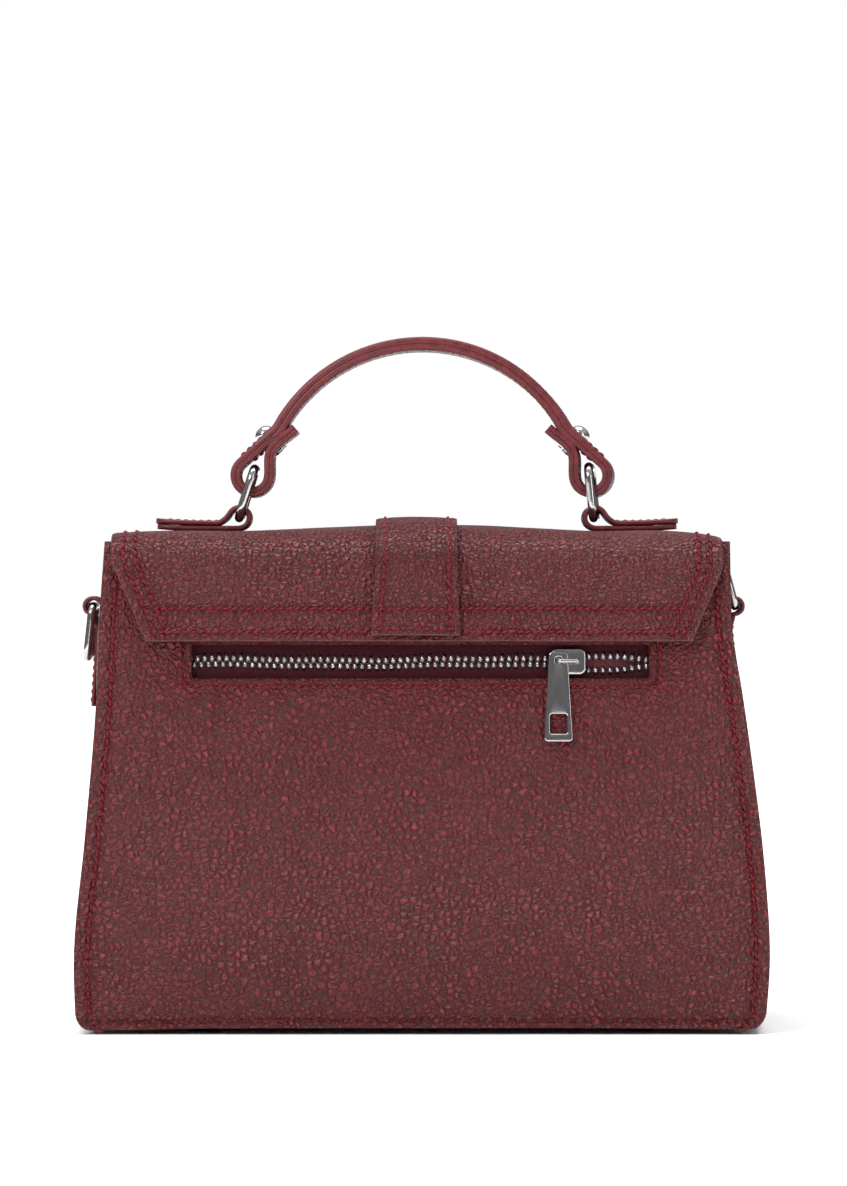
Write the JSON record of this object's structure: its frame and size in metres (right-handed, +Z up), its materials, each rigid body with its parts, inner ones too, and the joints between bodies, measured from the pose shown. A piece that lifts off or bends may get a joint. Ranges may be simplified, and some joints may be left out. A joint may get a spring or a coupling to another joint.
{
  "type": "satchel bag",
  "caption": "Small leather satchel with a fold-over flap, an arched top handle on rings, a zip pocket in its back and a ring on each side.",
  "frame": {"origin": "under the middle of the base, on the plane the feet stand on", "axes": "+Z up, -Y towards the back of the bag with the zip pocket, +Y towards its front, +X along its width"},
  "size_m": [0.2692, 0.124, 0.27],
  "materials": {
    "leather": "pebbled, satin",
    "inner_leather": "smooth, matte",
    "lining_cloth": "plain weave, matte",
    "board": "matte",
    "zip_tape": "herringbone weave",
    "nickel": "polished dark nickel",
    "foot_metal": "dark nickel"
  },
  "bodies": {
    "body": {"back_panel": "leather", "front_panel": "leather", "left_gusset": "leather", "right_gusset": "leather", "bottom_panel": "leather", "base_board": "board", "lining": "lining_cloth", "left_back_foot": "foot_metal", "right_back_foot": "foot_metal", "left_front_foot": "foot_metal", "right_front_foot": "foot_metal", "zip_teeth_upper": "nickel", "zip_teeth_lower": "nickel", "zip_tape_upper": "zip_tape", "zip_tape_lower": "zip_tape", "zip_left_stop": "nickel", "zip_right_stop": "nickel", "pocket_bag": "lining_cloth", "flap_back": "leather", "flap_back_lining": "inner_leather", "strap_back": "leather", "front_magnet": "nickel", "left_side_chape": "leather", "right_side_chape": "leather"},
    "flap_top": {"flap_top": "leather", "flap_top_lining": "inner_leather", "strap_top": "leather", "left_handle_chape": "leather", "right_handle_chape": "leather"},
    "flap_front": {"flap_front": "leather", "flap_front_lining": "inner_leather", "strap_front": "leather", "flap_magnet": "nickel"},
    "left_handle_ring": {"left_handle_ring": "nickel"},
    "right_handle_ring": {"right_handle_ring": "nickel"},
    "handle": {"handle": "leather", "handle_lining": "inner_leather", "left_handle_rivet": "nickel", "left_handle_rivet_cap": "nickel", "right_handle_rivet": "nickel", "right_handle_rivet_cap": "nickel"},
    "left_side_ring": {"left_side_ring": "nickel"},
    "right_side_ring": {"right_side_ring": "nickel"},
    "zip_slider": {"zip_slider": "nickel"},
    "zip_pull": {"zip_pull": "nickel"}
  },
  "joints": [
    {"name": "flap_lift", "type": "hinge", "parent": "body", "child": "flap_top", "pos_m": [0, -0.04516, 0.1935], "axis": [1, 0, 0], "range_deg": [0, 130]},
    {"name": "flap_front_bend", "type": "hinge", "parent": "flap_top", "child": "flap_front", "pos_m": [0, 0.04898, 0.1935], "axis": [1, 0, 0], "range_deg": [0, 85]},
    {"name": "handle_sway", "type": "hinge", "parent": "flap_top", "child": "left_handle_ring", "pos_m": [-0.0722, 0, 0.1988], "axis": [0, 1, 0], "range_deg": [-20, 20]},
    {"name": "handle_level", "type": "hinge", "parent": "left_handle_ring", "child": "handle", "pos_m": [-0.06613, 0, 0.21807], "axis": [0, 1, 0], "range_deg": [-21.2, 21.2]},
    {"name": "right_ring_swing", "type": "hinge", "parent": "flap_top", "child": "right_handle_ring", "pos_m": [0.0679, 0, 0.1988], "axis": [0, 1, 0], "range_deg": [-19.1, 19.1]},
    {"name": "left_side_ring_swing", "type": "hinge", "parent": "body", "child": "left_side_ring", "pos_m": [-0.12975, 0, 0.164], "axis": [0, 1, 0], "range_deg": [0, 120]},
    {"name": "right_side_ring_swing", "type": "hinge", "parent": "body", "child": "right_side_ring", "pos_m": [0.12283, 0, 0.164], "axis": [0, 1, 0], "range_deg": [0, 150]},
    {"name": "zip_travel", "type": "slide", "parent": "body", "child": "zip_slider", "axis": [1, 0, 0], "range_m": [-0.136, 0.022]},
    {"name": "zip_pull_swing", "type": "hinge", "parent": "zip_slider", "child": "zip_pull", "pos_m": [0.05245, -0.04832, 0.14306], "axis": [0, 0.9943, -0.1065], "range_deg": [-40, 90]}
  ],
  "couplings": [
    {"joint": "handle_level", "follows": "handle_sway", "ratio": -1.055},
    {"joint": "right_ring_swing", "follows": "handle_sway", "ratio": 0.95}
  ]
}
